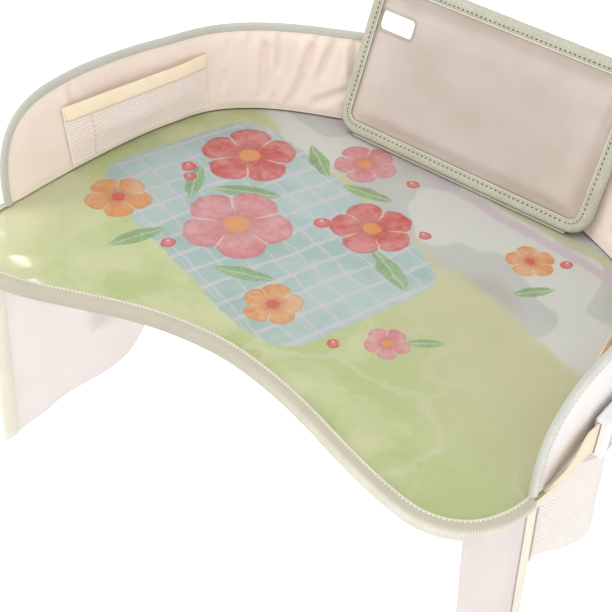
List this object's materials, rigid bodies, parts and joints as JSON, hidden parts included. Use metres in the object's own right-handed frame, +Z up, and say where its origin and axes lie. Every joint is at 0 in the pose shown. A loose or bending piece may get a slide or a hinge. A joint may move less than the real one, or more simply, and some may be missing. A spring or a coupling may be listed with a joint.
{
  "type": "car seat tray table",
  "caption": "Padded bean shaped lap tray with a belly cut-out, a curved soft wall, a leaning clear phone sleeve, inner net pockets, hanging side wings and a waist strap with a side buckle.",
  "frame": {"origin": "middle of the flat underside of the deck, on its face", "axes": "+X to the side with the buckle, +Y away from the child towards the wall behind the holder, +Z up from the deck"},
  "size_m": [0.3972, 0.3149, 0.2871],
  "materials": {
    "wall_cloth": "matt",
    "outer_cloth": "matt",
    "sage_tape": "matt",
    "ribbed_tape": "matt",
    "cream_tape": "matt",
    "elastic_band": "matt",
    "net": "open net",
    "webbing": "woven",
    "holder_cloth": "matt",
    "printed_cloth": "printed",
    "clear_film": "clear",
    "stiff_sheet": "plain",
    "foam": "soft foam",
    "buckle_plastic": "satin"
  },
  "bodies": {
    "tray": {"underside_cover": "outer_cloth", "core_board": "stiff_sheet", "deck_pad": "foam", "deck_print": "printed_cloth", "deck_film": "clear_film", "front_binding": "ribbed_tape", "rim_binding": "cream_tape", "wall_inner_cover": "wall_cloth", "wall_core": "stiff_sheet", "wall_outer_cover": "outer_cloth", "wall_top_binding": "sage_tape", "inner_pocket_net_left": "net", "inner_pocket_band_left": "elastic_band", "inner_pocket_net_right": "net", "inner_pocket_band_right": "elastic_band", "holder_hinge_tape": "sage_tape", "wing_tape_left": "cream_tape", "wing_tape_right": "cream_tape", "strap_right": "webbing", "strap_long": "webbing", "buckle_socket": "buckle_plastic"},
    "holder": {"holder_back": "holder_cloth", "holder_window": "clear_film", "holder_binding": "sage_tape"},
    "left_wing": {"wing_left_panel": "outer_cloth", "wing_left_edge": "cream_tape", "wing_left_net": "net"},
    "right_wing": {"wing_right_panel": "outer_cloth", "wing_right_edge": "cream_tape", "wing_right_pocket_back": "outer_cloth", "wing_right_net": "net"},
    "plug": {"buckle_plug": "buckle_plastic", "buckle_prong_lower": "buckle_plastic", "buckle_prong_upper": "buckle_plastic", "strap_plug": "webbing"}
  },
  "joints": [
    {"name": "holder_tilt", "type": "hinge", "parent": "tray", "child": "holder", "pos_m": [0, 0.113, 0.01295], "axis": [1, 0, 0], "range_deg": [0, 85]},
    {"name": "left_wing_fold", "type": "hinge", "parent": "tray", "child": "left_wing", "pos_m": [-0.165, 0, -0.0006], "axis": [0, -1, 0], "range_deg": [-8, 85]},
    {"name": "right_wing_fold", "type": "hinge", "parent": "tray", "child": "right_wing", "pos_m": [0.165, 0, -0.0006], "axis": [0, 1, 0], "range_deg": [-8, 85]},
    {"name": "buckle_release", "type": "slide", "parent": "tray", "child": "plug", "axis": [0, 1, 0], "range_m": [0, 0.015]}
  ]
}
